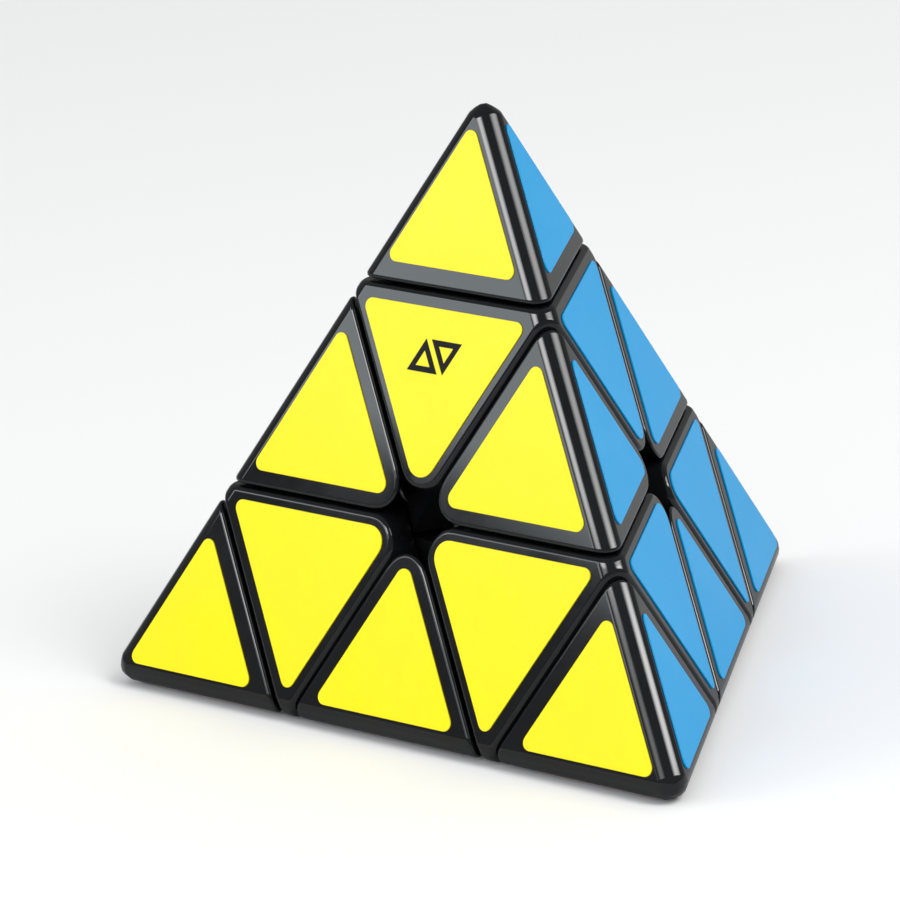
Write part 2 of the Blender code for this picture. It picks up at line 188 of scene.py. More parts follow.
def round_pyramid(name):
    """The whole outer shape of the puzzle, left open in edit mode."""
    let_go()
    bpy.ops.mesh.primitive_cone_add(vertices=3, radius1=SHARP_EDGE / math.sqrt(3), radius2=0,
                                    depth=TALL, location=(0, 0, TALL / 4))
    piece = settle(name)
    open_piece(piece)
    bpy.ops.mesh.bevel(offset_type="OFFSET", offset=OUTER_RADIUS * math.sqrt(2),
                       segments=OUTER_STEPS, profile=arc_profile(DIHEDRAL), affect="EDGES")
    for axis in CORNERS.values():
        bpy.ops.mesh.select_all(action="SELECT")
        bpy.ops.mesh.bisect(plane_co=axis * BLUNT_END, plane_no=axis, use_fill=True,
                            threshold=SAW_THRESHOLD, clear_outer=True)
        pick("FACE", lambda f: all(abs(v.co.dot(axis) - BLUNT_END) < ON_PLANE for v in f.verts))
        bpy.ops.mesh.bevel(offset_type="OFFSET", offset=BLUNT_LIP, segments=BLUNT_STEPS,
                           profile=0.5, affect="EDGES")
    return piece


print(f"outer edges {OUTER_RADIUS / MM:.1f} mm round, corners {(CORNER_AT - BLUNT_END) / MM:.1f}"
      " mm short of sharp")

# %% [markdown]
# A real piece comes out of a mould, but cutting it from the pyramid gives the same shape, and
# the faces of neighbours then match without measuring. `bisect` is the saw. It removes one side
# and closes the cut. Each cut face ends in a narrow rounded lip where it meets the outer skin.
# A Bevel modifier with an angle limit would round the edges between two cuts as well, so the cut
# faces are marked with a second material slot, and the lips are found by their two marks.

# %% The saw and the lip file
SKIN, CUT = 0, 1              # the two marking slots
LIP_STEPS = 4


def saw(axis, height, keep):
    """Cut square to an axis at a height along it, keep the part above or below, mark the cut."""
    bpy.ops.mesh.select_all(action="SELECT")
    bpy.ops.mesh.bisect(plane_co=axis * height, plane_no=axis, use_fill=True,
                        threshold=SAW_THRESHOLD, clear_inner=keep == "above",
                        clear_outer=keep == "below")
    pick("FACE", lambda f: all(abs(v.co.dot(axis) - height) < ON_PLANE for v in f.verts))
    bm = bmesh.from_edit_mesh(bpy.context.object.data)
    for face in bm.faces:
        if face.select:
            face.material_index = CUT
    bmesh.update_edit_mesh(bpy.context.object.data)


def file_lips(width):
    """Round the lips between the skin and the cut faces."""
    pick("EDGE", lambda e: {f.material_index for f in e.link_faces} == {SKIN, CUT})
    bpy.ops.mesh.bevel(offset_type="OFFSET", offset=width, segments=LIP_STEPS,
                       profile=0.5, affect="EDGES", material=CUT)
    bpy.ops.mesh.select_all(action="SELECT")
    bpy.ops.mesh.normals_make_consistent(inside=False)


# %% [markdown]
# Stems, plugs and screws are round, so they are turned as on a lathe: a filled circle is
# extruded step by step along the axis, and resized at each step. Balls and turned parts are
# then joined to a piece, or cut out of it, with the Boolean modifier, which is applied at once.

# %% The lathe, the ball and the Boolean
LATHE_STEPS = 48


def turn_on_lathe(name, profile):
    """A closed round solid about +Z from (radius, height) pairs, lowest first."""
    (radius, height), *rest = profile
    let_go()
    bpy.ops.mesh.primitive_circle_add(vertices=LATHE_STEPS, radius=radius,
                                      fill_type="NGON", location=(0, 0, height))
    piece = settle(name)
    open_piece(piece)
    for next_radius, next_height in rest:
        bpy.ops.mesh.extrude_region_move(
            TRANSFORM_OT_translate={"value": (0, 0, next_height - height)})
        scale = next_radius / radius
        bpy.ops.transform.resize(value=(scale, scale, 1), center_override=(0, 0, next_height))
        radius, height = next_radius, next_height
    bpy.ops.mesh.select_all(action="SELECT")
    bpy.ops.mesh.normals_make_consistent(inside=False)
    let_go()
    return piece


def ball(name, radius):
    """A ball about the origin."""
    let_go()
    bpy.ops.mesh.primitive_uv_sphere_add(segments=LATHE_STEPS, ring_count=LATHE_STEPS // 2,
                                         radius=radius)
    return settle(name)


def combine(piece, operation, tool):
    """Join a tool to a piece, or cut it out, and use the tool up."""
    take(piece)
    bpy.ops.object.modifier_add(type="BOOLEAN")
    boolean = piece.modifiers[-1]
    boolean.operation = operation
    boolean.solver = "EXACT"
    boolean.object = tool
    bpy.ops.object.modifier_apply(modifier=boolean.name)
    bpy.data.objects.remove(tool, do_unlink=True)


# %% [markdown]
# A finished model is shaded smooth, but its sharp edges stay sharp. The Weighted Normal modifier
# then keeps the large flat faces truly flat, which shows at once in the reflections of polished
# plastic. The marks are wiped off, as the real finishes come later.

# %% The last step for every model
SMOOTH_ANGLE = math.radians(34)
FACE_WEIGHT = 100             # the large faces alone decide how the narrow roundings are shaded


def finish_model(piece):
    """Shade a finished model smooth, and keep its flat faces truly flat in reflections."""
    open_piece(piece)
    bpy.ops.mesh.remove_doubles(threshold=ON_PLANE)
    bpy.ops.mesh.select_all(action="SELECT")
    bpy.ops.mesh.normals_make_consistent(inside=False)
    let_go()
    for face in piece.data.polygons:
        face.material_index = 0
    piece.data.materials.clear()
    take(piece)
    bpy.ops.object.shade_smooth_by_angle(angle=SMOOTH_ANGLE)
    bpy.ops.object.modifier_add(type="WEIGHTED_NORMAL")
    weighted = piece.modifiers[-1]
    weighted.keep_sharp = True
    weighted.weight = FACE_WEIGHT
    bpy.ops.object.modifier_apply(modifier=weighted.name)
    let_go()
    print(f"{piece.name}: {len(piece.data.polygons)} faces")
    return piece


# %% [markdown]
# A tip is the pyramid's corner above the first cut. Under it is a plug with a small barb that
# snaps into the piece below and lets the tip spin. The tip could be modelled as a small pyramid
# of its own, but sawn from the whole one its outer edges run on in line with its neighbours'.

# %% Model the tip
TETRA_LIP = 0.8 * MM          # for the tips and the edge pieces
SNAP_AT = 32.8 * MM
SNAP_DEPTH = 0.55 * MM
SNAP_HALF = 0.35 * MM
SNAP_SLOPE = 0.5 * MM
PLUG_RADIUS = 4.2 * MM
PLUG_END = 30.5 * MM
PLUG_CHAMFER = 0.5 * MM

tip = round_pyramid("tip_model")
give_marks(tip)
saw(CORNERS["top"], TIP_CUT + GAP / 2, "above")
file_lips(TETRA_LIP)
let_go()
barb = PLUG_RADIUS + SNAP_DEPTH
combine(tip, "UNION", turn_on_lathe("plug", [
    (PLUG_RADIUS - PLUG_CHAMFER, PLUG_END),
    (PLUG_RADIUS, PLUG_END + PLUG_CHAMFER),
    (PLUG_RADIUS, SNAP_AT - SNAP_HALF - SNAP_SLOPE),
    (barb, SNAP_AT - SNAP_HALF),
    (barb, SNAP_AT + SNAP_HALF),
    (PLUG_RADIUS, SNAP_AT + SNAP_HALF + SNAP_SLOPE),
    (PLUG_RADIUS, TIP_CUT + OVERLAP)]))
finish_model(tip)

# %% [markdown]
# Six corners meet in the middle of a face, three of axial pieces and three of edge pieces. They
# are rounded back a long way, which leaves a star-shaped well there. Four faces meet at the
# axial piece's corner, so there is no one edge that a bevel could round. The corner is sawn off
# by a straight wall instead, and the wall's two long edges are bevelled. That makes the round,
# upright end of the piece, and its lip can still be filed all round.

# %% The rounded end in the middle of a face
HUB_ROUND = 3.8 * MM
HUB_STEPS = 5
WALL_ROUNDING = 0.513         # share of that radius which the rounded sides of the wall take
ON_WALL = 10 * ON_PLANE       # the wall's corners are a little less exact
LIES_ALONG = 0.8              # cosine between an edge and the direction it has to follow


def round_hub_end(face):
    """Saw off the corner in the middle of a face by a wall, and round the sides of the wall."""
    hub = CORNERS[face] * FACE_AT
    inward = (hub - CORNERS["top"] * CORNER_AT).normalized()
    lost_to_gap = GAP / 2 / math.sin(DIHEDRAL) / math.sin(math.radians(30))
    wall = hub.dot(inward) - lost_to_gap - HUB_ROUND
    saw(inward, wall, "below")

    def down_the_wall(edge):
        first, second = (vertex.co for vertex in edge.verts)
        return (abs(first.dot(inward) - wall) < ON_WALL
                and abs(second.dot(inward) - wall) < ON_WALL
                and abs((second - first).normalized().dot(CORNERS[face])) > LIES_ALONG)

    pick("EDGE", down_the_wall)
    bpy.ops.mesh.bevel(offset_type="OFFSET", offset=HUB_ROUND * WALL_ROUNDING,
                       segments=HUB_STEPS, profile=arc_profile(math.radians(120)),
                       affect="EDGES", material=CUT)


# %% [markdown]
# An axial piece is an octahedron: the layer under a tip, less its three edge pieces. The real
# one is hollow, so that the edge pieces' feet can turn in it. Here it is hollowed by a ball, and
# a stem stands in that hollow. The cup in the stem takes the spring, the screw's head and the
# tip's plug. The outside is sawn and filed first, while its edges are still few.

# %% Model the axial piece
AXIAL_LIP = 0.65 * MM
CLEAR = 0.3 * MM              # round the snap, and at both ends of the spring
BALL_RADIUS = 17.0 * MM
BALL_GAP = 0.3 * MM
STEM_RADIUS = 6.0 * MM
STEM_FOOT = 10.1 * MM
BORE_RADIUS = 2.9 * MM
CUP_RADIUS = 4.6 * MM
CUP_FLOOR = 19.0 * MM

axial = round_pyramid("axial_model")
give_marks(axial)
saw(CORNERS["top"], TIP_CUT - GAP / 2, "below")
saw(CORNERS["top"], LAYER_CUT + GAP / 2, "above")
for corner in ("left", "right", "back"):
    saw(CORNERS[corner], LAYER_CUT - GAP / 2, "below")
for face in ("left", "right", "back"):
    round_hub_end(face)
file_lips(AXIAL_LIP)
let_go()
groove = CUP_RADIUS + SNAP_DEPTH
combine(axial, "DIFFERENCE", ball("hollow_ball", BALL_RADIUS + BALL_GAP))
combine(axial, "UNION", turn_on_lathe("stem", [
    (STEM_RADIUS, STEM_FOOT), (STEM_RADIUS, CUP_FLOOR + OVERLAP)]))
combine(axial, "DIFFERENCE", turn_on_lathe("cup", [
    (BORE_RADIUS, STEM_FOOT - OVERLAP),
    (BORE_RADIUS, CUP_FLOOR),
    (CUP_RADIUS, CUP_FLOOR),
    (CUP_RADIUS, SNAP_AT - SNAP_HALF - CLEAR - SNAP_SLOPE),
    (groove, SNAP_AT - SNAP_HALF - CLEAR),
    (groove, SNAP_AT + SNAP_HALF + CLEAR),
    (CUP_RADIUS, SNAP_AT + SNAP_HALF + CLEAR + SNAP_SLOPE),
    (CUP_RADIUS, TIP_CUT + OVERLAP)]))
finish_model(axial)

# %% [markdown]
# An edge piece is a tetrahedron that lies between two layers. Its inner edge runs from the
# middle of one face to the middle of the other, and a wide bevel rounds it before the lips are
# filed. Its foot is a slice of a hollow ball, made with the same saw. The axial pieces hold the
# foot in from outside, and a round foot slides in their hollow without catching.

# %% Model the edge piece
INNER_ROUND = 4.24 * MM
HUB_REACH = 1.5 * MM          # a sharp corner there lies within this of the face's middle
FOOT_CUT = 3.2 * MM
FOOT_INNER_RADIUS = 10.0 * MM

edge = round_pyramid("edge_model")
give_marks(edge)
for corner in ("top", "left"):
    saw(CORNERS[corner], LAYER_CUT + GAP / 2, "above")
hubs = [CORNERS[face] * FACE_AT for face in ("right", "back")]
pick("EDGE", lambda e: all(min((v.co - hub).length for hub in hubs) < HUB_REACH
                           for v in e.verts))
bpy.ops.mesh.bevel(offset_type="OFFSET", offset=INNER_ROUND / math.tan(DIHEDRAL / 2),
                   segments=HUB_STEPS * 2, profile=arc_profile(DIHEDRAL), affect="EDGES",
                   material=CUT)
file_lips(TETRA_LIP)
let_go()
foot = ball("foot", BALL_RADIUS - BALL_GAP)
open_piece(foot)
for corner in ("top", "left"):
    saw(CORNERS[corner], FOOT_CUT + GAP / 2, "above")
for corner in ("right", "back"):
    saw(CORNERS[corner], FOOT_CUT - GAP / 2, "below")
let_go()
combine(foot, "DIFFERENCE", ball("foot_hollow", FOOT_INNER_RADIUS))
combine(edge, "UNION", foot)
finish_model(edge)

# %% [markdown]
# The four screws are hidden when the puzzle is whole, but they hold it together: each one goes
# through a layer into an arm of the core. Its pan head is a dome made of a few lathe steps, and
# two crossed bars cut its recess. The thread sits deep in the arm, so the shank is left plain.

# %% Model the screw
SCREW_RADIUS = 1.5 * MM
SCREW_END = 9.0 * MM
SCREW_POINT = 1.0 * MM
HEAD_RADIUS = 4.1 * MM
HEAD_UNDER = 27.0 * MM
HEAD_TOP = 29.4 * MM
HEAD_SIDE = 1.1 * MM
HEAD_DOME_STEPS = 5
HEAD_FLAT = 0.45              # share of the head's radius that stays flat on top
CROSS_LENGTH = 4.6 * MM
CROSS_WIDTH = 0.9 * MM
CROSS_DEPTH = 1.4 * MM

dome = []
for step in range(HEAD_DOME_STEPS + 1):
    angle = math.pi / 2 * step / HEAD_DOME_STEPS
    dome.append((HEAD_RADIUS * (HEAD_FLAT + (1 - HEAD_FLAT) * math.cos(angle)),
                 HEAD_UNDER + HEAD_SIDE + (HEAD_TOP - HEAD_UNDER - HEAD_SIDE) * math.sin(angle)))
screw = turn_on_lathe("screw_model", [
    (SCREW_RADIUS - SCREW_POINT / 2, SCREW_END),
    (SCREW_RADIUS, SCREW_END + SCREW_POINT),
    (SCREW_RADIUS, HEAD_UNDER),
    (HEAD_RADIUS, HEAD_UNDER)] + dome)
for size in ((CROSS_LENGTH, CROSS_WIDTH), (CROSS_WIDTH, CROSS_LENGTH)):
    let_go()
    bpy.ops.mesh.primitive_cube_add(size=1, location=(0, 0, HEAD_TOP),
                                    scale=(*size, 2 * CROSS_DEPTH))
    combine(screw, "DIFFERENCE", settle("cross_bar"))
finish_model(screw)

# %% [markdown]
# A spring sits under each screw's head and presses the layer gently inwards, so that it turns
# without rattling. It could be bent from a curve, but a small circle swept by the Screw modifier
# is already a round wire. Each of its open ends is then closed by a face.

# %% Model the spring
WIRE_RADIUS = 0.35 * MM
WIRE_SIDES = 12
SPRING_RADIUS = 3.55 * MM
SPRING_TURNS = 5
TURN_STEPS = 28

low = CUP_FLOOR + CLEAR + WIRE_RADIUS
high = HEAD_UNDER - CLEAR - WIRE_RADIUS
let_go()
bpy.ops.mesh.primitive_circle_add(vertices=WIRE_SIDES, radius=WIRE_RADIUS, fill_type="NOTHING",
                                  location=(SPRING_RADIUS, 0, low), rotation=(math.pi / 2, 0, 0))
spring = settle("spring_model")
bpy.ops.object.modifier_add(type="SCREW")
coil = spring.modifiers[-1]
coil.axis = "Z"
coil.angle = math.tau
coil.iterations = SPRING_TURNS
coil.screw_offset = (high - low) / SPRING_TURNS
coil.steps = coil.render_steps = TURN_STEPS
coil.use_merge_vertices = False
bpy.ops.object.modifier_apply(modifier=coil.name)
open_piece(spring)
bpy.ops.mesh.remove_doubles(threshold=ON_PLANE)
pick("EDGE", lambda e: len(e.link_faces) == 1)
bpy.ops.mesh.edge_face_add()
bpy.ops.mesh.select_all(action="SELECT")
finish_model(spring)


# %% [markdown]
# Everything so far stands on the top axis. A turn of the pyramid carries the top and left
# corners to any other two corners, so four tips, four axial pieces and six edge pieces come
# from one model each. Every copy gets its own mesh, with the turn applied.

# %% The turns of the pyramid
def stand(first, second):
    """Three square axes built on two corners."""
    across = CORNERS[first].cross(CORNERS[second]).normalized()
    return Matrix((CORNERS[first], across, CORNERS[first].cross(across))).transposed()


def turn_to(first, second):
    """The turn that carries the top and left corners to these two."""
    return stand(first, second) @ stand("top", "left").inverted()


PARTNER = {"top": "left", "left": "top", "right": "back", "back": "right"}


def copy_piece(model, name, place):
    """Copy a model with its own mesh, move the copy to its place, and apply the move."""
    take(model)
    bpy.ops.object.duplicate()
    piece = bpy.context.object
    piece.name = piece.data.name = name
    piece.matrix_world = place
    bpy.ops.object.transform_apply(location=True, rotation=True, scale=True)
    return piece


# %% [markdown]
# The spider core is a ball with four arms, one along each turning axis, and a hole in the end
# of each arm for its screw. One arm is turned on the lathe, copied to the four axes and joined
# to the ball, and the holes are cut in the same way.

# %% Model the spider core
CORE_RADIUS = 9.5 * MM
ARM_RADIUS = 2.6 * MM
ARM_FOOT = 1.0 * MM
ARM_TOP = 18.5 * MM
SCREW_HOLE_RADIUS = 1.8 * MM
SCREW_HOLE_FLOOR = 8.0 * MM

core = ball("core_model", CORE_RADIUS)
for tool_name, operation, profile in (
        ("arm", "UNION", [(ARM_RADIUS, ARM_FOOT), (ARM_RADIUS, ARM_TOP)]),
        ("hole", "DIFFERENCE", [(SCREW_HOLE_RADIUS, SCREW_HOLE_FLOOR),
                                (SCREW_HOLE_RADIUS, ARM_TOP + OVERLAP)])):
    blank = turn_on_lathe(tool_name, profile)
    for corner in CORNERS:
        place = turn_to(corner, PARTNER[corner]).to_4x4()
        combine(core, operation, copy_piece(blank, f"{tool_name}_{corner}", place))
    bpy.data.objects.remove(blank, do_unlink=True)
finish_model(core)


# %% [markdown]
# # Finishes
# Helpers first: one adds a node, one sets the values of its inputs, and one starts a node group.
# Wiring nodes in code is then as short as doing it by hand in the Shader Editor.

# %% Helpers for node trees
def add_node(tree, kind, at, **values):
    """Add a node at a place in the editor, and set its properties."""
    node = tree.nodes.new(kind)
    node.location = at
    for name, value in values.items():
        setattr(node, name, value)
    return node


def set_inputs(node, **values):
    """Set a node's inputs by name, an underscore standing for a space."""
    for name, value in values.items():
        node.inputs[name.replace("_", " ")].default_value = value
    return node


def new_group(name, inputs, outputs):
    """Start a shader node group with these number inputs, a vector input and number outputs."""
    tree = bpy.data.node_groups.new(name, "ShaderNodeTree")
    for socket, value in inputs.items():
        made = tree.interface.new_socket(socket, in_out="INPUT", socket_type="NodeSocketFloat")
        made.default_value = value
    tree.interface.new_socket("Vector", in_out="INPUT", socket_type="NodeSocketVector")
    for socket in outputs:
        tree.interface.new_socket(socket, in_out="OUTPUT", socket_type="NodeSocketFloat")
    return tree, tree.nodes.new("NodeGroupInput"), tree.nodes.new("NodeGroupOutput")


# %% [markdown]
# Two effects are shared by every finish, so they are node groups, built once and placed in each
# material with its own values. `moulded_surface` is the fine waviness and grain of moulded
# plastic or printed vinyl. `handling` is a mask of the faint smears that fingers leave.

# %% The two shared node groups
STREAK_SHARE = 0.35           # how much the fine streaks add to the soft patches


def make_surface_group():
    """Long soft waves plus fine grain, as one height."""
    tree, given, result = new_group(
        "moulded_surface", {"Wave Scale": 120, "Grain Scale": 2400, "Grain Share": 0.2},
        ["Height"])
    wave = add_node(tree, "ShaderNodeTexNoise", (-400, 150))
    grain = add_node(tree, "ShaderNodeTexNoise", (-400, -150))
    set_inputs(wave, Detail=2.0, Roughness=0.45)
    set_inputs(grain, Detail=3.0, Roughness=0.6)
    blend = add_node(tree, "ShaderNodeMix", (-100, 0))
    tree.links.new(given.outputs["Vector"], wave.inputs["Vector"])
    tree.links.new(given.outputs["Vector"], grain.inputs["Vector"])
    tree.links.new(given.outputs["Wave Scale"], wave.inputs["Scale"])
    tree.links.new(given.outputs["Grain Scale"], grain.inputs["Scale"])
    tree.links.new(given.outputs["Grain Share"], blend.inputs["Factor"])
    tree.links.new(wave.outputs["Fac"], blend.inputs["A"])
    tree.links.new(grain.outputs["Fac"], blend.inputs["B"])
    tree.links.new(blend.outputs["Result"], result.inputs["Height"])
    return tree


def make_handling_group():
    """A mask that is near 0 on clean plastic and rises in soft patches where fingers were."""
    tree, given, result = new_group(
        "handling", {"Patch Scale": 45, "Streak Scale": 260, "Clean": 0.5, "Smeared": 0.75},
        ["Mask"])
    patch = add_node(tree, "ShaderNodeTexNoise", (-600, 150))
    streak = add_node(tree, "ShaderNodeTexNoise", (-600, -150))
    set_inputs(patch, Detail=3.0, Roughness=0.5, Distortion=0.6)
    set_inputs(streak, Detail=4.0, Roughness=0.65, Distortion=1.2)
    mix = add_node(tree, "ShaderNodeMath", (-350, 0), operation="MULTIPLY_ADD")
    ramp = add_node(tree, "ShaderNodeMapRange", (-100, 0), interpolation_type="SMOOTHSTEP")
    for noise, scale in ((patch, "Patch Scale"), (streak, "Streak Scale")):
        tree.links.new(given.outputs["Vector"], noise.inputs["Vector"])
        tree.links.new(given.outputs[scale], noise.inputs["Scale"])
    tree.links.new(streak.outputs["Fac"], mix.inputs[0])
    mix.inputs[1].default_value = STREAK_SHARE
    tree.links.new(patch.outputs["Fac"], mix.inputs[2])
    tree.links.new(mix.outputs["Value"], ramp.inputs["Value"])
    tree.links.new(given.outputs["Clean"], ramp.inputs["From Min"])
    tree.links.new(given.outputs["Smeared"], ramp.inputs["From Max"])
    tree.links.new(ramp.outputs["Result"], result.inputs["Mask"])
    return tree


surface_group = make_surface_group()
handling_group = make_handling_group()
print("node groups:", surface_group.name, handling_group.name)


# %% [markdown]
# One recipe serves every plastic, vinyl and metal here. Height goes through a Bump node, the
# handling mask raises the roughness a little, and a second colour shows faintly in patches.
# Only the numbers differ: black plastic is nearly a mirror, vinyl has a slight orange peel.

# %% The recipe for a finish
def make_finish(name, colour, patch_colour, roughness, smear_roughness, bump_depth,
                wave_scale=120.0, grain_scale=2400.0, grain_share=0.2, patch_scale=45.0,
                metallic=0.0, ior=1.5):
    """A Principled material whose colour, gloss and surface vary the way the real one does."""
    material = bpy.data.materials.new(name)
    material.use_nodes = True
    tree = material.node_tree
    shader = tree.nodes["Principled BSDF"]
    set_inputs(shader, Metallic=metallic, IOR=ior)
    place = add_node(tree, "ShaderNodeTexCoord", (-1100, 0))
    surface = add_node(tree, "ShaderNodeGroup", (-800, -300), node_tree=surface_group)
    handling = add_node(tree, "ShaderNodeGroup", (-800, 100), node_tree=handling_group)
    set_inputs(surface, Wave_Scale=wave_scale, Grain_Scale=grain_scale, Grain_Share=grain_share)
    set_inputs(handling, Patch_Scale=patch_scale)
    tones = add_node(tree, "ShaderNodeMix", (-450, 300), data_type="RGBA")
    tones.inputs["A"].default_value = (*colour, 1)
    tones.inputs["B"].default_value = (*patch_colour, 1)
    gloss = add_node(tree, "ShaderNodeMapRange", (-450, 0))
    set_inputs(gloss, To_Min=roughness, To_Max=smear_roughness)
    bump = add_node(tree, "ShaderNodeBump", (-450, -300))
    set_inputs(bump, Strength=1.0, Distance=bump_depth)
    for group in (surface, handling):
        tree.links.new(place.outputs["Object"], group.inputs["Vector"])
    tree.links.new(handling.outputs["Mask"], tones.inputs["Factor"])
    tree.links.new(handling.outputs["Mask"], gloss.inputs["Value"])
    tree.links.new(surface.outputs["Height"], bump.inputs["Height"])
    tree.links.new(tones.outputs["Result"], shader.inputs["Base Color"])
    tree.links.new(gloss.outputs["Result"], shader.inputs["Roughness"])
    tree.links.new(bump.outputs["Normal"], shader.inputs["Normal"])
    return material


# %% [markdown]
# The finishes themselves. Depths are real heights in metres: two microns of waviness are enough
# to make a reflection in polished plastic swim a little. The vinyl and the ink have a lower IOR
# than the plastic, because they are satin and show less of the studio at a flat angle.

# %% Mix the finishes
MICRON = 0.001 * MM

# name, colour, colour of the patches, roughness, roughness where smeared, depth of the surface
finishes = {
    "black_plastic": make_finish(
        "black_plastic", (0.004, 0.0043, 0.005), (0.006, 0.0064, 0.0072), 0.05, 0.09,
        1.6 * MICRON, wave_scale=90, grain_scale=1800, grain_share=0.12),
    "printed_ink": make_finish(
        "printed_ink", (0.008, 0.008, 0.009), (0.011, 0.011, 0.012), 0.42, 0.48,
        2.0 * MICRON, grain_share=0.5, ior=1.2),
    "core_plastic": make_finish(
        "core_plastic", (0.030, 0.031, 0.035), (0.040, 0.041, 0.045), 0.38, 0.5,
        8.0 * MICRON, grain_share=0.5),
    "screw_steel": make_finish(
        "screw_steel", (0.56, 0.57, 0.59), (0.48, 0.47, 0.45), 0.24, 0.38,
        1.5 * MICRON, metallic=1.0, grain_share=0.6),
    "spring_steel": make_finish(
        "spring_steel", (0.68, 0.69, 0.70), (0.60, 0.60, 0.60), 0.20, 0.32,
        1.5 * MICRON, metallic=1.0, grain_share=0.6),
}
VINYLS = {
    "yellow": ((0.87, 0.745, 0.004), (0.86, 0.73, 0.0038)),
    "blue": ((0.0, 0.345, 0.73), (0.0, 0.335, 0.71)),
    "green": ((0.0, 0.42, 0.09), (0.0, 0.38, 0.08)),
    "red": ((0.74, 0.015, 0.02), (0.68, 0.012, 0.018)),
}
for colour_name, (colour, patch) in VINYLS.items():
    finishes["sticker_" + colour_name] = make_finish(
        "sticker_" + colour_name, colour, patch, 0.20, 0.25, 2.0 * MICRON,
        wave_scale=160, grain_scale=1500, grain_share=0.35, patch_scale=60, ior=1.33)
print("finishes:", ", ".join(finishes))


# %% [markdown]
# A piece is dressed in one call: it takes its finish, rides its body, and stands for its packed
# node. Each screw and spring rides the core, which stands still, while every tip, layer and
# edge piece rides a body of its own.

# %% Hang the pieces on their bodies
def dress(piece, slot, body, node):
    """Give a piece its finish and its slot, and hang it on its body in a node's stead."""
    piece.data.materials.clear()
    piece.data.materials.append(finishes[slot])
    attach(piece, body)
    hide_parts(node)
    return piece


for corner in CORNERS:
    place = turn_to(corner, PARTNER[corner]).to_4x4()
    for model, name, slot, body, node in (
            (tip, "corner_cap", "black_plastic", "corner", "tip"),
            (axial, "axial_block", "black_plastic", "layer", "axial"),
            (screw, "core_screw", "screw_steel", None, "screw"),
            (spring, "core_spring", "spring_steel", None, "spring")):
        piece = copy_piece(model, f"{name}_{corner}", place)
        dress(piece, slot, f"{body}_{corner}" if body else "core", f"{node}_{corner}")
for first, second in EDGE_PAIRS:
    piece = copy_piece(edge, f"edge_block_{first}_{second}", turn_to(first, second).to_4x4())
    dress(piece, "black_plastic", f"side_{first}_{second}", f"edge_{first}_{second}")
dress(copy_piece(core, "spider_hub", Matrix.Identity(4)), "core_plastic", "core", "core_spider")
for model in (tip, axial, edge, screw, spring, core):
    bpy.data.objects.remove(model, do_unlink=True)
for mark in two_marks:
    bpy.data.materials.remove(mark)
print("plastic and metal pieces are on their bodies")

# %% [markdown]
# # Stickers
# Each face has nine stickers, one on each cell of its pattern of small triangles. A cell is an
# equal-sided triangle, and the black rim beside an outer edge is wider than beside a cut, so a
# sticker's triangle is smaller and sits a little off the middle of its cell. The corner towards
# the well is rounder than the others, as it follows the rounded end of the piece below.

# %% Sizes of the stickers
VINYL_UNDER = 0.01 * MM
VINYL_TOP = 0.20 * MM
VINYL_EDGE = 0.05 * MM
VINYL_EDGE_STEPS = 2
ROUND_CORNER = 1.1 * MM
AXIAL_HUB_CORNER = 2.3 * MM
EDGE_HUB_CORNER = 1.3 * MM
CORNER_STEPS = 8
TIP_OUTER_RIM = 3.65 * MM
TIP_CUT_RIM = 3.1 * MM
AXIAL_TIP_RIM = 2.1 * MM
AXIAL_SIDE_RIM = 1.7 * MM
EDGE_OUTER_RIM = 3.7 * MM
EDGE_CUT_RIM = 2.6 * MM
CELL_HEIGHT = SHARP_EDGE / 3 * math.sqrt(3) / 2
RIMS = {"tip": (TIP_CUT_RIM, TIP_OUTER_RIM), "axial": (AXIAL_TIP_RIM, AXIAL_SIDE_RIM),
        "edge": (EDGE_OUTER_RIM, EDGE_CUT_RIM)}   # beside the far side, beside the two others
FIRST_CORNER = {"tip": ROUND_CORNER, "axial": AXIAL_HUB_CORNER, "edge": EDGE_HUB_CORNER}
print(f"each cell is {CELL_HEIGHT / MM:.2f} mm high")

# %% [markdown]
# A sticker is die-cut from sheet vinyl. It is modelled flat: a circle with three points, its
# corners bevelled round, extruded to the vinyl's thickness, and its upper edge softened. It
# could be drawn as a curve, but a mesh has its corners ready to be picked.

# %% Cut one sticker of each kind
NEARLY = 0.8                  # share of the size beyond which a vertex is at a corner


def round_corners(radius, test):
    """Round the corners of a flat triangle that pass a test, to this radius."""
    pick("VERT", test)
    bpy.ops.mesh.bevel(offset_type="OFFSET", offset=radius * math.sqrt(3), segments=CORNER_STEPS,
                       profile=arc_profile(math.radians(60)), affect="VERTICES")


def make_vinyl(kind):
    """A sticker flat on the ground plane, its first corner towards +Y."""
    far_rim, near_rim = RIMS[kind]
    size = (CELL_HEIGHT - far_rim - 2 * near_rim) * 2 / 3
    let_go()
    bpy.ops.mesh.primitive_circle_add(vertices=3, radius=size, fill_type="NGON",
                                      location=(0, 0, VINYL_UNDER))
    piece = settle(f"vinyl_{kind}_model")
    open_piece(piece)
    round_corners(FIRST_CORNER[kind], lambda v: v.co.y > size * NEARLY)
    round_corners(ROUND_CORNER, lambda v: abs(v.co.x) > size * NEARLY)
    bpy.ops.mesh.select_all(action="SELECT")
    bpy.ops.mesh.extrude_region_move(
        TRANSFORM_OT_translate={"value": (0, 0, VINYL_TOP - VINYL_UNDER)})
    pick("EDGE", lambda e: all(v.co.z > VINYL_TOP - VINYL_EDGE for v in e.verts))
    bpy.ops.mesh.bevel(offset_type="OFFSET", offset=VINYL_EDGE, segments=VINYL_EDGE_STEPS,
                       profile=0.5, affect="EDGES")
    return finish_model(piece)


vinyls = {kind: make_vinyl(kind) for kind in RIMS}


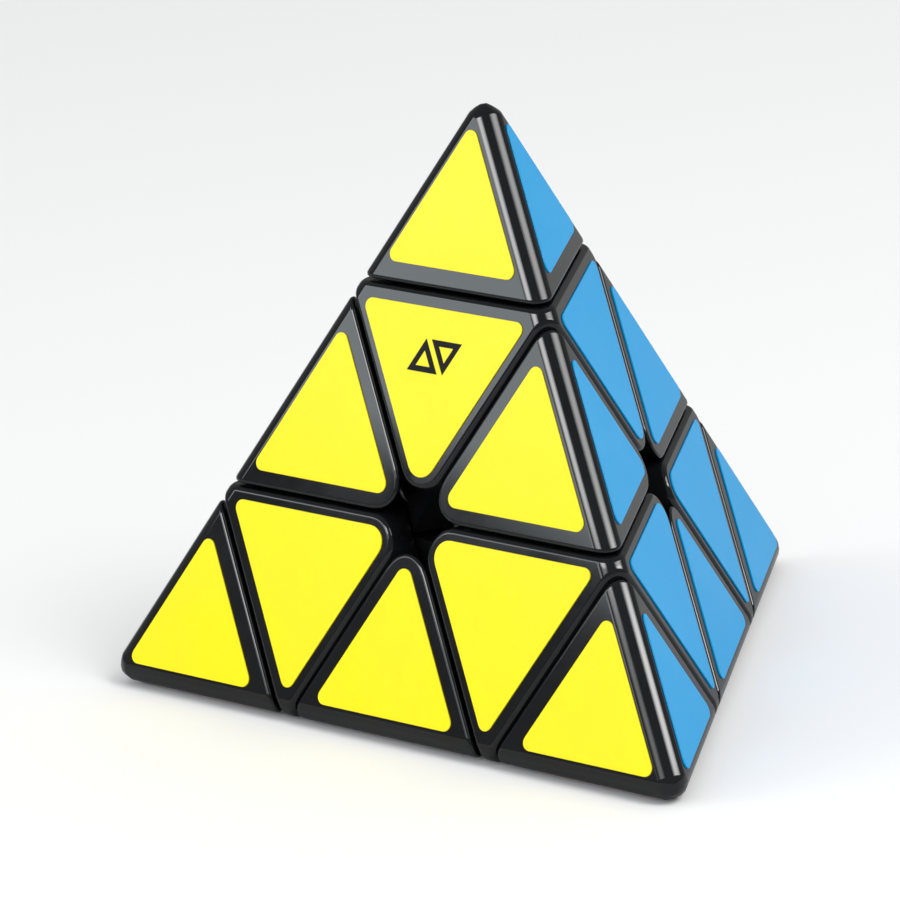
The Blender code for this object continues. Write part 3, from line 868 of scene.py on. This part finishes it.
# %% [markdown]
# A cell is named by its kind and its corners. Its own middle is a third of its height away from
# each side, and the sticker's middle is moved by the difference of its rims. Working the places
# out from the four corners of the pyramid keeps all four faces alike.

# %% Lay the thirty-six stickers
def cell_frame(kind, names, face):
    """The sticker's middle, its first corner's direction and the way out of the face."""
    point = {name: axis * CORNER_AT for name, axis in CORNERS.items() if name != face}
    hub = CORNERS[face] * FACE_AT
    if kind == "edge":
        first = hub
        others = [point[a].lerp(point[b], 1 / 3) for a, b in (names, names[::-1])]
    else:
        first = point[names[0]] if kind == "tip" else hub
        others = [point[names[0]].lerp(point[b], 1 / 3) for b in point if b != names[0]]
    far_rim, near_rim = RIMS[kind]
    towards = (first - (others[0] + others[1]) / 2).normalized()
    middle = (first + others[0] + others[1]) / 3
    # the far rim pushes the middle away from the far side, and the near rims push it back
    shift = (far_rim - near_rim) * 2 / 3
    return middle + towards * shift, towards, -CORNERS[face]


def place_in_cell(kind, names, face, shift=(0, 0)):
    """Where a sticker lies, or a thing shifted sideways and towards its first corner."""
    middle, towards, outward = cell_frame(kind, names, face)
    across = towards.cross(outward)
    place = Matrix((across, towards, outward)).transposed().to_4x4()
    place.translation = middle + across * shift[0] + towards * shift[1]
    return place


def lay_sticker(colour, kind, names, face):
    """Copy a sticker to its cell and hang it on the body of the piece below."""
    cell = "_".join((kind, *names))
    body = {"tip": "corner", "axial": "layer", "edge": "side"}[kind] + "_" + "_".join(names)
    place = place_in_cell(kind, names, face)
    piece = copy_piece(vinyls[kind], f"vinyl_{colour}_{cell}", place)
    return dress(piece, f"sticker_{colour}", body, f"sticker_{colour}_{cell}")


for face, colour_name in FACE_COLOURS.items():
    around = [name for name in CORNERS if name != face]
    for name in around:
        lay_sticker(colour_name, "tip", (name,), face)
        lay_sticker(colour_name, "axial", (name,), face)
    for pair in EDGE_PAIRS:
        if face not in pair:
            lay_sticker(colour_name, "edge", pair, face)
for model in vinyls.values():
    bpy.data.objects.remove(model, do_unlink=True)
print("stickers laid")

# %% [markdown]
# The yellow sticker on the top axial piece carries a small printed mark: here simply two
# outlined triangles, one of them upside down. An outline is a triangle inset by the width of
# the line, with its middle face deleted. The ink is a thin solid that stands on the vinyl, and
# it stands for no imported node: it only rides the same layer.

# %% Print the mark
MARK_RADIUS = 3.0 * MM
MARK_LINE = 0.8 * MM
MARK_ASIDE = 1.75 * MM        # from the middle of the mark to each triangle's axis
MARK_SHIFT = (0.4 * MM, -2.6 * MM)     # sideways, and back from the corner at the well
INK_SINK = 0.02 * MM
INK_THICK = 0.04 * MM

let_go()
bpy.ops.mesh.primitive_circle_add(vertices=3, radius=MARK_RADIUS, fill_type="NGON",
                                  location=(-MARK_ASIDE, 0, VINYL_TOP - INK_SINK))
mark_model = settle("mark_model")
open_piece(mark_model)
bpy.ops.mesh.inset(thickness=MARK_LINE)
bpy.ops.mesh.delete(type="FACE")
bpy.ops.mesh.select_all(action="SELECT")
bpy.ops.mesh.extrude_region_move(TRANSFORM_OT_translate={"value": (0, 0, INK_THICK)})
bpy.ops.mesh.select_all(action="SELECT")
bpy.ops.mesh.duplicate()
bpy.ops.transform.rotate(value=math.pi, orient_axis="Z",
                         center_override=(0, MARK_RADIUS / 4, VINYL_TOP))
finish_model(mark_model)
place = place_in_cell("axial", ("top",), "back", MARK_SHIFT)
printed = copy_piece(mark_model, "printed_mark", place)
bpy.data.objects.remove(mark_model, do_unlink=True)
printed.data.materials.append(finishes["printed_ink"])
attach(printed, "layer_top")
print("mark printed:", len(printed.data.polygons), "faces")

# %% [markdown]
# # Studio
# A pale floor lies just under the lowest stickers, under a plain white sky. The polished plastic
# is nearly a black mirror, so floor and sky are shown to reflections much dimmer than to the
# eye: the black then stays deep, and only the light panels draw bright lines on it.

# %% Floor and sky
FLOOR_SIZE = 8                # metres, so that its far edge is never seen
SKY, MIRRORED_SKY = 0.70, 0.22
PAPER, MIRRORED_PAPER = 0.88, 0.42


def switch_for_reflections(tree, socket, plain, mirrored):
    """Give a socket one value in general, and another for what glossy surfaces reflect."""
    path = add_node(tree, "ShaderNodeLightPath", (-700, 0))
    choose = add_node(tree, "ShaderNodeMapRange", (-400, 0))
    set_inputs(choose, To_Min=plain, To_Max=mirrored)
    tree.links.new(path.outputs["Is Glossy Ray"], choose.inputs["Value"])
    tree.links.new(choose.outputs["Result"], socket)


let_go()
bpy.ops.mesh.primitive_plane_add(size=FLOOR_SIZE, location=(0, 0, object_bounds()[0].z))
floor = settle("studio_floor")
paper = bpy.data.materials.new("floor_paper")
paper.use_nodes = True
sheet = set_inputs(paper.node_tree.nodes["Principled BSDF"], Roughness=0.9,
                   Specular_IOR_Level=0.1)
switch_for_reflections(paper.node_tree, sheet.inputs["Base Color"], PAPER, MIRRORED_PAPER)
floor.data.materials.append(paper)

world = bpy.data.worlds.new("studio_sky")
bpy.context.scene.world = world
world.use_nodes = True
background = set_inputs(world.node_tree.nodes["Background"], Color=(1, 1, 1, 1))
switch_for_reflections(world.node_tree, background.inputs["Strength"], SKY, MIRRORED_SKY)
print(f"floor at {floor.data.vertices[0].co.z / MM:.2f} mm")


# %% [markdown]
# Each light panel is a rectangular area light. It is given by the direction of its middle, as
# an azimuth round the puzzle and a height above the horizon, and by its brightness, because an
# area light's power has to grow with its area to look equally bright. A round edge mirrors a
# long arc of the room, so the cards that draw its two bright lines lean along that arc. They
# are seen only in reflections, and the top panel and the low fill only by matt surfaces: the
# lines on the plastic can then be placed without changing the colours of the stickers.

# %% Light panels
def light_panel(name, azimuth, elevation, distance, width, height, brightness,
                tint=(1, 1, 1), lean=0, seen_by="everything"):
    """A softbox that faces the puzzle from a direction, and leans by an angle, in degrees."""
    turn, rise = math.radians(azimuth), math.radians(elevation)
    away = Vector((math.sin(turn) * math.cos(rise), -math.cos(turn) * math.cos(rise),
                   math.sin(rise)))
    let_go()
    bpy.ops.object.light_add(type="AREA", location=away * distance)
    lamp = bpy.context.object
    lamp.name = name
    facing = away.to_track_quat("Z", "Y") @ Quaternion((0, 0, 1), math.radians(lean))
    lamp.rotation_euler = facing.to_euler()
    lamp.data.shape = "RECTANGLE"
    lamp.data.size, lamp.data.size_y = width, height
    lamp.data.energy = brightness * math.pi * width * height
    lamp.data.color = tint
    lamp.visible_diffuse = seen_by != "mirrors"
    lamp.visible_glossy = seen_by != "matt"
    return lamp


CARD_STEPS = 4
CARD_FADE = 0.2               # each card in a stack is shorter by this share of the longest
CARD_APART = 5 * MM           # so that a reflection goes through them all, and they add up


def soft_card(name, azimuth, elevation, distance, length, width, brightness, lean):
    """A card seen only in reflections, whose ends fade: a stack of ever shorter cards."""
    for step in range(CARD_STEPS):
        light_panel(f"{name}_{step}", azimuth, elevation, distance + step * CARD_APART,
                    length * (1 - CARD_FADE * step), width, brightness / CARD_STEPS,
                    lean=lean, seen_by="mirrors")


# azimuth, elevation, distance, length, width, brightness
light_panel("left_front_panel", -41.5, 22.2, 1.3, 0.62, 0.42, 3.9, (0.86, 0.95, 1.0))
light_panel("right_top_panel", 92, 48, 1.1, 0.46, 0.50, 9.0, seen_by="matt")
light_panel("low_front_fill", 0, 3, 0.36, 0.40, 0.10, 3.2, seen_by="matt")
soft_card("left_bright_card", -9.4, 36.5, 1.25, 0.74, 0.22, 9.2, lean=33)
soft_card("left_dim_card", -7.5, 35.5, 1.28, 0.78, 0.42, 3.0, lean=33)
soft_card("right_long_card", 118, 41, 1.1, 1.04, 0.36, 7.4, lean=-28)
soft_card("right_low_card", 113.8, 35, 1.1, 0.90, 0.10, 7.0, lean=-28)

# %% [markdown]
# The camera looks from the right front and a little above, from far away with a long lens, so
# the pyramid's edges hardly draw together. It is tilted by a few degrees, which gives a plain
# object some life. A camera looks along its own -Z, so its Z axis is tracked away from the aim.

# %% Camera
AIM = Vector((-8.0, -2.6, 10.6)) * MM
AZIMUTH, ELEVATION, ROLL = (math.radians(angle) for angle in (41.2, 17.55, -4.08))
DISTANCE = 903.2 * MM
LENS, SENSOR = 268.6, 36      # both in millimetres, as Blender wants them

let_go()
bpy.ops.object.camera_add()
camera = bpy.context.object
camera.name = "studio_camera"
towards_camera = Vector((math.sin(AZIMUTH) * math.cos(ELEVATION),
                         -math.cos(AZIMUTH) * math.cos(ELEVATION), math.sin(ELEVATION)))
facing = towards_camera.to_track_quat("Z", "Y").to_matrix() @ Matrix.Rotation(ROLL, 3, "Z")
camera.matrix_world = Matrix.Translation(AIM + towards_camera * DISTANCE) @ facing.to_4x4()
camera.data.lens = LENS
camera.data.sensor_width = SENSOR
camera.data.clip_start, camera.data.clip_end = 0.05, 20
bpy.context.scene.camera = camera
bpy.context.scene.view_settings.view_transform = "Standard"
print(f"camera {DISTANCE:.2f} m away, with a lens of {LENS:.0f} mm")

# %% [markdown]
# Last, every piece is let go.

# %% Let go of everything
let_go()
